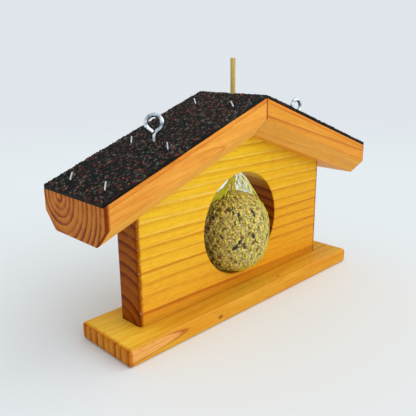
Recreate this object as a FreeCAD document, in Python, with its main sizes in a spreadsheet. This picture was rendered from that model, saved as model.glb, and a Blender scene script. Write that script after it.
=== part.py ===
"""A house-shaped wooden bird feeder with a fat ball on a stick, as separate pieces.

Millimetres. The origin is the middle of the footprint on the ground, +X along the ridge line's
span to the right, +Y to the back and +Z up.
"""

import FreeCAD, Part
import math
import os
import re

import Sketcher

# Driving dimensions, in millimetres and degrees
SIZES = {
    # base board
    "base_length": 272.0,
    "base_depth": 61.0,
    "base_thickness": 13.5,
    "base_forward": 2.5,
    "base_rounding": 2.8,
    # upright block and its feeding hole
    "block_width": 222.0,
    "block_depth": 24.0,
    "block_height": 131.3,
    "block_rounding": 3.0,
    "hole_diameter": 88.0,
    "hole_rise": 54.5,
    "hole_easing": 1.2,
    # roof boards
    "roof_pitch": 20.0,
    "roof_span": 302.0,
    "roof_depth": 74.0,
    "roof_thickness": 27.0,
    "roof_chamfer": 12.0,
    "roof_rounding": 1.0,
    # roofing felt
    "felt_thickness": 3.0,
    "felt_inset": 1.0,
    "felt_ridge_rounding": 6.0,
    # staples in the felt
    "staple_width": 12.0,
    "staple_wire": 0.7,
    "staple_breadth": 0.9,
    "staple_shoulder": 0.6,
    "staple_leg": 8.0,
    "staple_angle": 50.0,
    "staple_ridge_row": 20.0,
    "staple_middle_row": 85.0,
    "staple_eave_row": 137.0,
    "staple_front": 19.0,
    "staple_back": 22.0,
    # screw eyes
    "eye_wire": 3.2,
    "eye_inside": 8.5,
    "eye_bend": 6.0,
    "eye_left_neck": 1.8,
    "eye_right_neck": 3.7,
    "eye_closing": 0.15,
    "eye_shank": 20.0,
    "eye_tip": 4.0,
    "eye_left_out": 80.8,
    "eye_right_out": 87.0,
    "eye_left_turn": -44.0,
    "eye_right_turn": -4.0,
    # bamboo stick and its bore
    "stick_diameter": 4.0,
    "stick_length": 186.5,
    "stick_point": 8.0,
    "stick_tip": 1.5,
    "stick_easing": 0.3,
    "stick_clearance": 0.25,
    "bore_floor": 3.0,
    "bore_forward": 1.2,
    # fat ball and net
    "ball_diameter": 62.0,
    "ball_stretch": 7.2,
    "net_gap": 0.3,
    "net_thickness": 0.6,
    "mesh_angle": 30.0,
    "mesh_height": 13.0,
    "strand_width": 1.6,
    "gather_radius": 6.0,
    "net_seat": 0.3,
    "neck_clearance": 0.35,
    "neck_length": 2.2,
    "neck_below_hole": 0.8,
    "tail_radius": 0.6,
    "tail_sink": 0.3,
    "tail_start": 8.0,
    "tail_sweep": 28.0,
    "tail_heading": -115.0,
    "clip_height": 1.5,
    "clip_wall": 0.6,
    "clip_fit": 0.05,
    # wood screws
    "screw_diameter": 4.0,
    "screw_head": 8.0,
    "screw_point": 6.0,
    "screw_fit": 0.05,
    "recess_width": 1.2,
    "recess_length": 4.6,
    "recess_depth": 1.6,
    "base_screw_length": 40.0,
    "base_screw_out": 75.0,
    "roof_screw_length": 50.0,
    "roof_screw_upper": 62.0,
    "roof_screw_lower": 104.0,
}

# Heights and radii that several pieces share, as formulas of the sizes above
UNDER_RIDGE = "(base_thickness + block_height)"
WOOD_RIDGE = f"({UNDER_RIDGE} + roof_thickness / cos(roof_pitch))"
FELT_RIDGE = f"({WOOD_RIDGE} + felt_thickness / cos(roof_pitch))"
EAVE_DROP = "(roof_span / 2 * tan(roof_pitch))"
HOLE_HEIGHT = "(base_thickness + hole_rise)"
BORE_BOTTOM = "(base_thickness + bore_floor)"
BORE_RADIUS = "(stick_diameter / 2 + stick_clearance)"
BALL_RADIUS = "(ball_diameter / 2)"
NET_INSIDE = f"({BALL_RADIUS} + net_gap)"
NET_OUTSIDE = f"({NET_INSIDE} + net_thickness)"
TAIL_ARC = f"({NET_OUTSIDE} + tail_radius - tail_sink)"
BALL_LOW = f"({HOLE_HEIGHT} - hole_diameter / 2 + net_seat + tail_radius + {TAIL_ARC})"
BALL_HIGH = f"({BALL_LOW} + ball_stretch)"
NECK_INSIDE = "(stick_diameter / 2 + neck_clearance)"
NECK_OUTSIDE = f"({NECK_INSIDE} + net_thickness)"
NECK_TOP = f"({HOLE_HEIGHT} + hole_diameter / 2 - neck_below_hole)"
NECK_FOOT = f"({NECK_TOP} - neck_length)"
EYE_RADIUS = "((eye_inside + eye_wire) / 2)"
EYE_END = "(eye_bend * (1 - (eye_bend - eye_closing) / (eye_bend + eye_wire / 2)))"

# How far cutting solids run past the faces that they open
OVERRUN = 5.0
LEFT, RIGHT = -1, 1
TOUCH = 1e-4
# How a sketch numbers an edge's two ends and an arc's middle
START, END, MIDDLE = range(1, 4)
ACROSS = FreeCAD.Vector(0, 1, 0)
UPWARD = FreeCAD.Vector(0, 0, 1)

doc = FreeCAD.newDocument("bird_feeder")
sheet = doc.addObject("Spreadsheet::Sheet", "Sizes")
for row, (alias, number) in enumerate(SIZES.items(), start=1):
    sheet.set(f"A{row}", alias.replace("_", " "))
    sheet.set(f"B{row}", str(number))
    sheet.setAlias(f"B{row}", alias)
doc.recompute()


def cells(formula):
    """Write a formula of size names as an expression that reads the sheet."""
    return re.sub(r"[a-z_]+", lambda m: f"Sizes.{m[0]}" if m[0] in SIZES else m[0], str(formula))


def value(formula):
    """The number that a formula of size names gives now."""
    found = sheet.evalExpression(cells(formula))
    return float(getattr(found, "Value", found))


def new_body(name):
    return doc.addObject("PartDesign::Body", name)


def origin_feature(body, role):
    return next(f for f in body.Origin.OriginFeatures if f.Role == role)


def sketch_on(body, plane, name, lift=None):
    """A sketch on one of the body's own planes, lifted along its normal."""
    sketch = body.newObject("Sketcher::SketchObject", name)
    sketch.AttachmentSupport = (origin_feature(body, plane), [""])
    sketch.MapMode = "FlatFace"
    if lift:
        sketch.setExpression("AttachmentOffset.Base.z", cells(lift))
    return sketch


def bind(sketch, kind, where, formula):
    """Add a dimension to a sketch and tie it to the sheet."""
    index = sketch.addConstraint(Sketcher.Constraint(kind, *where, value(formula)))
    sketch.setExpression(f"Constraints[{index}]", cells(formula))


def bind_point(sketch, edge, end, across, up):
    """Hold one end of an edge at a place measured from the sketch's origin."""
    bind(sketch, "DistanceX", (-1, 1, edge, end), across)
    bind(sketch, "DistanceY", (-1, 1, edge, end), up)


def outline(sketch, corners):
    """A closed outline of straight edges through corners given as pairs of formulas."""
    places = [FreeCAD.Vector(value(across), value(up), 0) for across, up in corners]
    count = len(places)
    for i in range(count):
        sketch.addGeometry(Part.LineSegment(places[i], places[(i + 1) % count]))
    for i in range(count):
        sketch.addConstraint(Sketcher.Constraint("Coincident", i, END, (i + 1) % count, START))
    for i, (across, up) in enumerate(corners):
        bind_point(sketch, i, START, across, up)


def circle(sketch, across, up, radius):
    middle = FreeCAD.Vector(value(across), value(up), 0)
    edge = sketch.addGeometry(Part.Circle(middle, UPWARD, value(radius)))
    bind_point(sketch, edge, MIDDLE, across, up)
    bind(sketch, "Radius", (edge,), radius)


def segment(sketch, start, end):
    return sketch.addGeometry(Part.LineSegment(start, end))


def axis_arc(sketch, up, radius, first, last):
    """An arc about a point on the sketch's upright axis, from one angle to another."""
    middle = FreeCAD.Vector(0, value(up), 0)
    edge = sketch.addGeometry(Part.ArcOfCircle(Part.Circle(middle, UPWARD, value(radius)), first, last))
    bind_point(sketch, edge, MIDDLE, "0", up)
    bind(sketch, "Radius", (edge,), radius)
    return edge


def join(sketch, kind, first, first_end, second, second_end):
    """Join an end of one edge to an end of another, touching or running on smoothly."""
    sketch.addConstraint(Sketcher.Constraint(kind, first, first_end, second, second_end))


def pad(body, sketch, length, both_ways=False):
    feature = body.newObject("PartDesign::Pad", f"{body.Name}_pad")
    feature.Profile = sketch
    feature.setExpression("Length", cells(length))
    if both_ways:
        feature.SideType = "Symmetric"
    doc.recompute()
    return feature


def pocket_through(body, sketch):
    """Cut a sketch right through the body, both ways from its plane."""
    before = body.Shape.Volume
    feature = body.newObject("PartDesign::Pocket", f"{body.Name}_pocket")
    feature.Profile = sketch
    feature.Type = "ThroughAll"
    feature.SideType = "Symmetric"
    doc.recompute()
    if body.Shape.Volume >= before:
        raise RuntimeError(f"the pocket in {body.Name} cuts nothing")
    return feature


def revolve(body, sketch):
    """Turn a sketch on the XZ plane once round the body's Z axis."""
    feature = body.newObject("PartDesign::Revolution", f"{body.Name}_turned")
    feature.Profile = sketch
    feature.ReferenceAxis = (origin_feature(body, "Z_Axis"), [""])
    feature.Angle = 360.0
    doc.recompute()
    return feature


def edges_where(feature, wanted):
    """Names of the feature's edges that a test picks out."""
    return [f"Edge{i}" for i, edge in enumerate(feature.Shape.Edges, start=1) if wanted(edge)]


def dress(body, kind, base, wanted, prop, formula):
    """Fillet or chamfer the edges of the body's last feature that a test picks out."""
    feature = body.newObject(f"PartDesign::{kind}", f"{body.Name}_{kind.lower()}")
    feature.Base = (base, edges_where(base, wanted))
    feature.setExpression(prop, cells(formula))
    doc.recompute()
    return feature


def all_at(edge, axis, place):
    """Does the whole edge lie at this place along this axis?"""
    box = edge.BoundBox
    low = getattr(box, f"{axis}Min")
    high = getattr(box, f"{axis}Max")
    return abs(low - place) < TOUCH and abs(high - place) < TOUCH


def put(thing, across, back, up, turn=FreeCAD.Rotation()):
    """Place an object by three formulas and a turn."""
    thing.Placement = FreeCAD.Placement(FreeCAD.Vector(value(across), value(back), value(up)), turn)
    for axis, formula in zip("xyz", (across, back, up)):
        thing.setExpression(f"Placement.Base.{axis}", cells(formula))


def cylinder(name, radius, height, across, back, up):
    thing = doc.addObject("Part::Cylinder", name)
    thing.setExpression("Radius", cells(radius))
    thing.setExpression("Height", cells(height))
    put(thing, across, back, up)
    return thing


def cut_out(label, base, cutters):
    """Take the cutters out of a piece and give the result the piece's name."""
    doc.recompute()
    tool = cutters[0]
    if len(cutters) > 1:
        tool = doc.addObject("Part::MultiFuse", f"{label}_cutters")
        tool.Shapes = cutters
    piece = doc.addObject("Part::Cut", f"{label}_cut")
    piece.Base = base
    piece.Tool = tool
    doc.recompute()
    if piece.Shape.Volume >= base.Shape.Volume:
        raise RuntimeError(f"the cut in {label} takes nothing away")
    piece.Label = label
    return piece


def on_slope(side, out, ridge):
    """Formulas of a place on a roof slope, so far out from the ridge."""
    return f"{side} * {out}", f"{ridge} - {out} * tan(roof_pitch)"


def slope_turn(side, spin=0.0):
    """The turn that lays a piece on a slope, after a spin about its own upright axis."""
    return FreeCAD.Rotation(ACROSS, side * value("roof_pitch")) * FreeCAD.Rotation(UPWARD, spin)


def screw_body(name, length, grow, cap):
    """A countersunk screw's turned outline, head up at the origin and pointing down.

    grow widens it all round, which makes the hole that the screw sits in, and cap carries the
    head up past the wood's face.
    """
    head = f"(screw_head / 2 + {grow})"
    shank = f"(screw_diameter / 2 + {grow})"
    body = new_body(name)
    sketch = sketch_on(body, "XZ_Plane", f"{name}_profile")
    corners = [
        ("0", cap),
        (head, cap),
        (shank, "-(screw_head - screw_diameter) / 2"),
        (shank, f"-({length} - screw_point)"),
        ("0", f"-{length} - {grow}"),
    ]
    if cap != "0":
        corners.insert(2, (head, "0"))
    outline(sketch, corners)
    revolve(body, sketch)
    return body


def wood_screw(label, length):
    """A countersunk wood screw with a cross recess in its head."""
    body = screw_body(label, length, "0", "0")
    sketch = sketch_on(body, "XY_Plane", f"{label}_recess")
    half_long = "recess_length / 2"
    half_wide = "recess_width / 2"
    arm = [(half_long, half_wide), (half_wide, half_wide), (half_wide, half_long)]
    cross = []
    for across_sign, up_sign, order in ((1, 1, 1), (-1, 1, -1), (-1, -1, 1), (1, -1, -1)):
        for across, up in arm[::order]:
            cross.append((f"{across_sign} * {across}", f"{up_sign} * {up}"))
    outline(sketch, cross)
    before = body.Shape.Volume
    recess = body.newObject("PartDesign::Pocket", f"{label}_recess_pocket")
    recess.Profile = sketch
    recess.setExpression("Length", cells("recess_depth"))
    doc.recompute()
    if body.Shape.Volume >= before:
        raise RuntimeError(f"the recess of {label} cuts nothing")
    return body


def screw_hole(name, length):
    return screw_body(name, length, "screw_fit", str(OVERRUN))


def base_board(screw_holes):
    """The board that everything stands on, a little forward of the block."""
    body = new_body("base_board_body")
    sketch = sketch_on(body, "XY_Plane", "base_outline")
    left, right = "-base_length / 2", "base_length / 2"
    front, back = "-base_depth / 2 - base_forward", "base_depth / 2 - base_forward"
    outline(sketch, [(left, front), (right, front), (right, back), (left, back)])
    board = pad(body, sketch, "base_thickness")
    dress(body, "Fillet", board, lambda edge: True, "Radius", "base_rounding")
    return cut_out("base_board", body, screw_holes)


def house_block(stick_bore, screw_holes):
    """The upright gable-topped block with its round feeding hole."""
    body = new_body("house_block_body")
    sketch = sketch_on(body, "XZ_Plane", "block_outline")
    foot = "base_thickness"
    shoulder = f"{UNDER_RIDGE} - block_width / 2 * tan(roof_pitch)"
    left, right = "-block_width / 2", "block_width / 2"
    outline(sketch, [(left, foot), (right, foot), (right, shoulder), ("0", UNDER_RIDGE), (left, shoulder)])
    upright = pad(body, sketch, "block_depth", both_ways=True)

    def corner(edge):
        box = edge.BoundBox
        return box.ZLength > TOUCH and box.XLength < TOUCH and box.YLength < TOUCH

    dress(body, "Fillet", upright, corner, "Radius", "block_rounding")
    hole = sketch_on(body, "XZ_Plane", "feeding_hole")
    circle(hole, "0", HOLE_HEIGHT, "hole_diameter / 2")
    bored = pocket_through(body, hole)

    def rim(edge):
        face = value("block_depth") / 2
        return edge.Curve.TypeId == "Part::GeomCircle" and (all_at(edge, "Y", face) or all_at(edge, "Y", -face))

    def hole_rim(edge):
        return rim(edge) and abs(edge.Curve.Radius - value("hole_diameter") / 2) < TOUCH

    dress(body, "Fillet", bored, hole_rim, "Radius", "hole_easing")
    return cut_out("house_block", body, [stick_bore] + screw_holes)


def roof_board(label, side, stick_bore, eye_hole, screw_holes):
    """One roof board: plumb cut at ridge and eave, its lower long edges chamfered."""
    body = new_body(f"{label}_body")
    sketch = sketch_on(body, "XZ_Plane", f"{label}_outline")
    eave = f"{side} * roof_span / 2"
    corners = [
        ("0", UNDER_RIDGE),
        (eave, f"{UNDER_RIDGE} - {EAVE_DROP}"),
        (eave, f"{WOOD_RIDGE} - {EAVE_DROP}"),
        ("0", WOOD_RIDGE),
    ]
    outline(sketch, corners)
    board = pad(body, sketch, "roof_depth", both_ways=True)
    under_ridge = value(UNDER_RIDGE)
    fall = math.tan(math.radians(value("roof_pitch")))

    def lower_long(edge):
        on_underside = all(abs(v.Z - under_ridge + abs(v.X) * fall) < TOUCH for v in edge.Vertexes)
        return on_underside and edge.BoundBox.YLength < TOUCH

    chamfered = dress(body, "Chamfer", board, lower_long, "Size", "roof_chamfer")
    dress(body, "Fillet", chamfered, lambda edge: not all_at(edge, "X", 0.0), "Radius", "roof_rounding")
    return cut_out(label, body, [stick_bore, eye_hole] + screw_holes)


def roof_felt(stick_bore, eye_holes):
    """One sheet of felt folded over the ridge."""
    body = new_body("roof_felt_body")
    sketch = sketch_on(body, "XZ_Plane", "felt_outline")
    left, right = "-roof_span / 2", "roof_span / 2"
    low, high = f"{WOOD_RIDGE} - {EAVE_DROP}", f"{FELT_RIDGE} - {EAVE_DROP}"
    corners = [(left, low), ("0", WOOD_RIDGE), (right, low), (right, high), ("0", FELT_RIDGE), (left, high)]
    outline(sketch, corners)
    sheet_of_felt = pad(body, sketch, "roof_depth - 2 * felt_inset", both_ways=True)

    def fold(edge):
        return all_at(edge, "X", 0.0) and all_at(edge, "Z", value(FELT_RIDGE))

    dress(body, "Fillet", sheet_of_felt, fold, "Radius", "felt_ridge_rounding")
    return cut_out("roof_felt", body, [stick_bore] + eye_holes)


def staple(name):
    """A wire staple astride the origin, its crown on top and its legs down."""
    body = new_body(name)
    sketch = sketch_on(body, "XZ_Plane", f"{name}_outline")
    outer, inner = "staple_width / 2", "(staple_width / 2 - staple_wire)"
    right_half = [(outer, "staple_wire"), (outer, "-staple_leg"), (inner, "-staple_leg"), (inner, "0")]
    left_half = [(f"-{across}", up) for across, up in right_half[::-1]]
    outline(sketch, right_half + left_half)
    wire = pad(body, sketch, "staple_breadth", both_ways=True)

    def shoulder(edge):
        outside = all_at(edge, "X", value(outer)) or all_at(edge, "X", -value(outer))
        return outside and all_at(edge, "Z", value("staple_wire"))

    dress(body, "Fillet", wire, shoulder, "Radius", "staple_shoulder")
    return body


def felt_staples(label, side):
    """Three rows of two staples on one slope, all set at the same slant."""
    staples = []
    for row in ("ridge", "middle", "eave"):
        for line, sign in (("front", -1), ("back", 1)):
            one = staple(f"{label}_{row}_{line}")
            across, up = on_slope(side, f"staple_{row}_row", FELT_RIDGE)
            turn = slope_turn(side, -side * value("staple_angle"))
            put(one, across, f"{sign} * staple_{line}", up, turn)
            staples.append(one)
    group = doc.addObject("Part::Compound", f"{label}_group")
    group.Links = staples
    doc.recompute()
    group.Label = label
    return group


def screw_eye(label, side):
    """A wire eye: pointed shank down into the wood, short neck and a closed loop like a drop."""
    name = "left" if side == LEFT else "right"
    neck_top = f"eye_{name}_neck"
    body = new_body(f"{label}_body")
    shank_foot = "-(eye_shank - eye_tip)"
    profile = sketch_on(body, "XY_Plane", f"{label}_wire", lift=shank_foot)
    circle(profile, "0", "0", "eye_wire / 2")

    path = sketch_on(body, "XZ_Plane", f"{label}_path")
    neck = value(neck_top)
    bend = value("eye_bend")
    ring = value(EYE_RADIUS)
    lean = math.acos(bend / (bend + ring))
    ring_up = neck + (bend + ring) * math.sin(lean)
    wire_end = math.acos(1 - value(EYE_END) / bend)

    def arc(across, up, radius, first, last):
        round_wire = Part.Circle(FreeCAD.Vector(across, up, 0), UPWARD, radius)
        return path.addGeometry(Part.ArcOfCircle(round_wire, first, last))

    shank = segment(path, FreeCAD.Vector(0, value(shank_foot), 0), FreeCAD.Vector(0, neck, 0))
    opening = arc(bend, neck, bend, math.pi - lean, math.pi)
    loop = arc(0, ring_up, ring, -lean, math.pi + lean)
    closing = arc(-bend, neck, bend, wire_end, lean)
    bind_point(path, shank, START, "0", shank_foot)
    bind_point(path, shank, END, "0", neck_top)
    join(path, "Tangent", shank, END, opening, END)
    join(path, "Tangent", opening, START, loop, START)
    join(path, "Tangent", loop, END, closing, END)
    bind(path, "Radius", (opening,), "eye_bend")
    bind(path, "Radius", (loop,), EYE_RADIUS)
    bind(path, "Radius", (closing,), "eye_bend")
    bind(path, "DistanceX", (-1, 1, loop, MIDDLE), "0")
    bind(path, "DistanceX", (-1, 1, closing, MIDDLE), "-eye_bend")
    bind(path, "DistanceX", (-1, 1, closing, START), f"-{EYE_END}")
    doc.recompute()
    pipe = body.newObject("PartDesign::AdditivePipe", f"{label}_pipe")
    pipe.Profile = profile
    pipe.Spine = (path, ["Edge1", "Edge2", "Edge3", "Edge4"])
    doc.recompute()

    point = sketch_on(body, "XZ_Plane", f"{label}_point")
    outline(point, [("0", "-eye_shank"), ("eye_wire / 2", shank_foot), ("0", shank_foot)])
    revolve(body, point)

    across, up = on_slope(side, f"eye_{name}_out", FELT_RIDGE)
    put(body, across, "0", up, FreeCAD.Rotation(UPWARD, value(f"eye_{name}_turn")))
    body.Label = label
    return body


def eye_hole(name, side_name, side):
    """The hole that an eye's shank fills, in the felt and in the board."""
    across, up = on_slope(side, f"eye_{side_name}_out", FELT_RIDGE)
    height = f"eye_shank + screw_fit + {OVERRUN}"
    return cylinder(name, "eye_wire / 2 + screw_fit", height, across, "0", f"{up} - eye_shank - screw_fit")


def skewer_stick():
    """The bamboo stick, pointed below, standing on the floor of its bore."""
    body = new_body("skewer_stick_body")
    sketch = sketch_on(body, "XZ_Plane", "stick_profile")
    radius = "stick_diameter / 2"
    top = "stick_length"
    corners = [
        ("0", "0"),
        ("stick_tip / 2", "0"),
        (radius, "stick_point"),
        (radius, f"{top} - stick_easing"),
        (f"{radius} - stick_easing", top),
        ("0", top),
    ]
    outline(sketch, corners)
    revolve(body, sketch)
    put(body, "0", "-bore_forward", BORE_BOTTOM)
    body.Label = "skewer_stick"
    return body


def fat_ball():
    """The pressed ball, a little taller than wide, with the way that the stick makes through it."""
    body = new_body("fat_ball_body")
    sketch = sketch_on(body, "XZ_Plane", "ball_section")
    radius, way = value(BALL_RADIUS), value(NECK_INSIDE)
    low, high = value(BALL_LOW), value(BALL_HIGH)
    opening = math.acos(way / radius)
    rise = radius * math.sin(opening)
    lower = axis_arc(sketch, BALL_LOW, BALL_RADIUS, -opening, 0)
    flank = segment(sketch, FreeCAD.Vector(radius, low, 0), FreeCAD.Vector(radius, high, 0))
    upper = axis_arc(sketch, BALL_HIGH, BALL_RADIUS, 0, opening)
    bore = segment(sketch, FreeCAD.Vector(way, high + rise, 0), FreeCAD.Vector(way, low - rise, 0))
    join(sketch, "Tangent", lower, END, flank, START)
    join(sketch, "Tangent", flank, END, upper, START)
    join(sketch, "Coincident", upper, END, bore, START)
    join(sketch, "Coincident", bore, END, lower, START)
    sketch.addConstraint(Sketcher.Constraint("Vertical", bore))
    bind(sketch, "DistanceX", (-1, 1, bore, START), NECK_INSIDE)
    revolve(body, sketch)
    put(body, "0", "-bore_forward", "0")
    body.Label = "fat_ball"
    return body


def net_profile(body):
    """Half section of the net: round the ball, then straight up to a neck on the stick."""
    sketch = sketch_on(body, "XZ_Plane", "net_section")
    inside, outside = value(NET_INSIDE), value(NET_OUTSIDE)
    neck_in, neck_out = value(NECK_INSIDE), value(NECK_OUTSIDE)
    low, high, foot, top = value(BALL_LOW), value(BALL_HIGH), value(NECK_FOOT), value(NECK_TOP)
    reach = math.hypot(neck_in, foot - high)
    lean = math.asin(inside / reach) - math.atan2(neck_in, foot - high)
    foot_out = foot + (outside - inside) * math.tan(lean / 2)

    def point(across, up):
        return FreeCAD.Vector(across, up, 0)

    def leaving(radius):
        return point(radius * math.cos(lean), high + radius * math.sin(lean))

    def bottom(radius):
        return point(neck_in, low - math.sqrt(radius**2 - neck_in**2))

    outer_low = axis_arc(sketch, BALL_LOW, NET_OUTSIDE, -math.acos(neck_in / outside), 0)
    outer_flank = segment(sketch, point(outside, low), point(outside, high))
    outer_high = axis_arc(sketch, BALL_HIGH, NET_OUTSIDE, 0, lean)
    outer_cone = segment(sketch, leaving(outside), point(neck_out, foot_out))
    neck_wall = segment(sketch, point(neck_out, foot_out), point(neck_out, top))
    neck_rim = segment(sketch, point(neck_out, top), point(neck_in, top))
    neck_bore = segment(sketch, point(neck_in, top), point(neck_in, foot))
    inner_cone = segment(sketch, point(neck_in, foot), leaving(inside))
    inner_high = axis_arc(sketch, BALL_HIGH, NET_INSIDE, 0, lean)
    inner_flank = segment(sketch, point(inside, high), point(inside, low))
    inner_low = axis_arc(sketch, BALL_LOW, NET_INSIDE, -math.acos(neck_in / inside), 0)
    way = segment(sketch, bottom(inside), bottom(outside))

    join(sketch, "Tangent", outer_low, END, outer_flank, START)
    join(sketch, "Tangent", outer_flank, END, outer_high, START)
    join(sketch, "Tangent", outer_high, END, outer_cone, START)
    join(sketch, "Coincident", outer_cone, END, neck_wall, START)
    join(sketch, "Coincident", neck_wall, END, neck_rim, START)
    join(sketch, "Coincident", neck_rim, END, neck_bore, START)
    join(sketch, "Coincident", neck_bore, END, inner_cone, START)
    join(sketch, "Tangent", inner_cone, END, inner_high, END)
    join(sketch, "Tangent", inner_high, START, inner_flank, START)
    join(sketch, "Tangent", inner_flank, END, inner_low, END)
    join(sketch, "Coincident", inner_low, START, way, START)
    join(sketch, "Coincident", way, END, outer_low, START)
    for edge in (neck_wall, neck_bore, way):
        sketch.addConstraint(Sketcher.Constraint("Vertical", edge))
    sketch.addConstraint(Sketcher.Constraint("Horizontal", neck_rim))
    sketch.addConstraint(Sketcher.Constraint("Parallel", outer_cone, inner_cone))
    bind(sketch, "DistanceX", (-1, 1, neck_wall, START), NECK_OUTSIDE)
    bind_point(sketch, neck_bore, END, NECK_INSIDE, NECK_FOOT)
    bind(sketch, "DistanceX", (-1, 1, way, START), NECK_INSIDE)
    bind(sketch, "DistanceY", (-1, 1, neck_rim, START), NECK_TOP)
    return sketch


def net_strands():
    """Slabs that pass through the net where it has a strand, and a core for its gathered ends."""
    bottom = f"({BALL_LOW} - {NET_OUTSIDE})"
    low = f"({bottom} - {OVERRUN})"
    reach = f"({NET_OUTSIDE} + {OVERRUN})"
    height = f"({NECK_TOP} + {OVERRUN} - {low})"
    slabs = [cylinder("net_gathers", "gather_radius", height, "0", "-bore_forward", low)]
    for i in range(round(180 / value("mesh_angle"))):
        heading = f"(mesh_angle * {i + 0.5})"
        across = f"strand_width / 2 * sin({heading}) - {reach} * cos({heading})"
        back = f"-bore_forward - strand_width / 2 * cos({heading}) - {reach} * sin({heading})"
        slab = doc.addObject("Part::Box", f"upright_strand_{i}")
        slab.setExpression("Length", cells(f"2 * {reach}"))
        slab.setExpression("Width", cells("strand_width"))
        slab.setExpression("Height", cells(height))
        put(slab, across, back, low, FreeCAD.Rotation(UPWARD, value(heading)))
        slab.setExpression("Placement.Rotation.Angle", cells(heading))
        slabs.append(slab)
    for i in range(1, int(value(f"({NECK_FOOT} - {bottom}) / mesh_height")) + 1):
        up = f"{bottom} + {i} * mesh_height - strand_width / 2"
        slabs.append(cylinder(f"cross_strand_{i}", reach, "strand_width", "0", "-bore_forward", up))
    strands = doc.addObject("Part::MultiFuse", "ball_net_strands")
    strands.Shapes = slabs
    doc.recompute()
    return strands


def ball_net():
    """The net, open in wide meshes, with its gathered tail, which pokes out under the ball in front."""
    body = new_body("ball_net_skin")
    revolve(body, net_profile(body))
    put(body, "0", "-bore_forward", "0")

    tail = doc.addObject("Part::Torus", "ball_net_tail")
    tail.setExpression("Radius1", cells(TAIL_ARC))
    tail.setExpression("Radius2", cells("tail_radius"))
    tail.setExpression("Angle3", cells("tail_sweep"))
    heading = math.radians(value("tail_heading"))
    start = math.radians(value("tail_start"))
    outward = FreeCAD.Vector(math.cos(heading), math.sin(heading), 0)
    radial = outward * math.sin(start) - UPWARD * math.cos(start)
    along = outward * math.cos(start) + UPWARD * math.sin(start)
    turn = FreeCAD.Rotation(radial, along, radial.cross(along), "XYZ")
    put(tail, "0", "-bore_forward", BALL_LOW, turn)

    mesh = doc.addObject("Part::Common", "ball_net_mesh")
    mesh.Base = body
    mesh.Tool = net_strands()
    net = doc.addObject("Part::Fuse", "ball_net_whole")
    net.Base = mesh
    net.Tool = tail
    doc.recompute()
    net.Label = "ball_net"
    return net


def net_clip():
    """The crimped band round the net's neck."""
    foot = f"{NECK_TOP} - neck_length / 2 - clip_height / 2 + clip_wall / 2"
    fit = f"{NECK_OUTSIDE} + clip_fit"
    band = cylinder("clip_band", f"{fit} + clip_wall", "clip_height", "0", "-bore_forward", foot)
    way = cylinder("clip_way", fit, f"clip_height + 2 * {OVERRUN}", "0", "-bore_forward", f"{foot} - {OVERRUN}")
    return cut_out("net_clip", band, [way])


def place_base_screw(thing, side):
    put(thing, f"{side} * base_screw_out", "0", "0", FreeCAD.Rotation(FreeCAD.Vector(1, 0, 0), 180))


def place_roof_screw(thing, side, row):
    across, up = on_slope(side, f"roof_screw_{row}", WOOD_RIDGE)
    put(thing, across, "0", up, slope_turn(side))


def build():
    """Make every piece and return them all."""
    bore_height = f"{FELT_RIDGE} + {OVERRUN} - {BORE_BOTTOM}"
    stick_bore = cylinder("stick_bore", BORE_RADIUS, bore_height, "0", "-bore_forward", BORE_BOTTOM)
    pieces = [skewer_stick(), fat_ball(), ball_net(), net_clip()]

    base_holes = []
    roof_holes = {LEFT: [], RIGHT: []}
    eye_holes = {}
    for side, name in ((LEFT, "left"), (RIGHT, "right")):
        screw = wood_screw(f"base_screw_{name}", "base_screw_length")
        hole = screw_hole(f"base_screw_hole_{name}", "base_screw_length")
        place_base_screw(screw, side)
        place_base_screw(hole, side)
        pieces.append(screw)
        base_holes.append(hole)
        for row in ("upper", "lower"):
            screw = wood_screw(f"roof_screw_{name}_{row}", "roof_screw_length")
            hole = screw_hole(f"roof_screw_hole_{name}_{row}", "roof_screw_length")
            place_roof_screw(screw, side, row)
            place_roof_screw(hole, side, row)
            pieces.append(screw)
            roof_holes[side].append(hole)
        eye_holes[side] = eye_hole(f"eye_hole_{name}", name, side)
        pieces.append(screw_eye(f"screw_eye_{name}", side))
        pieces.append(felt_staples(f"felt_staples_{name}", side))

    pieces.append(base_board(base_holes))
    pieces.append(house_block(stick_bore, base_holes + roof_holes[LEFT] + roof_holes[RIGHT]))
    for side, name in ((LEFT, "left"), (RIGHT, "right")):
        pieces.append(roof_board(f"roof_board_{name}", side, stick_bore, eye_holes[side], roof_holes[side]))
    pieces.append(roof_felt(stick_bore, list(eye_holes.values())))
    return pieces


def check(pieces):
    """Stop if anything in the document failed or a piece isn't sound."""
    doc.recompute()
    for thing in doc.Objects:
        if "Invalid" in thing.State or "Error" in thing.State:
            raise RuntimeError(f"{thing.Label} failed: {thing.State}")
    for piece in pieces:
        if piece.Shape.isNull() or not piece.Shape.isValid() or not piece.Shape.Solids:
            raise RuntimeError(f"{piece.Label} isn't a sound solid")


pieces = build()
check(pieces)
os.makedirs("parts", exist_ok=True)
for piece in pieces:
    piece.Shape.exportStep(f"parts/{piece.Label}.step")
    box = piece.Shape.BoundBox
    print(
        f"{piece.Label}: {len(piece.Shape.Solids)} solid(s), {piece.Shape.Volume / 1000:.2f} cm3, "
        f"x {box.XMin:.1f} to {box.XMax:.1f}, y {box.YMin:.1f} to {box.YMax:.1f}, "
        f"z {box.ZMin:.1f} to {box.ZMax:.1f}"
    )
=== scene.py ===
"""Looks of the house-shaped bird feeder: oiled wood, roofing felt, zinc, bamboo, fat ball and net.

Metres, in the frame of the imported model: +X to the right, +Y to the back, +Z up.
"""

import math
import random

import bmesh
import bpy
from mathutils import Euler, Matrix, Vector, kdtree, noise


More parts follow.
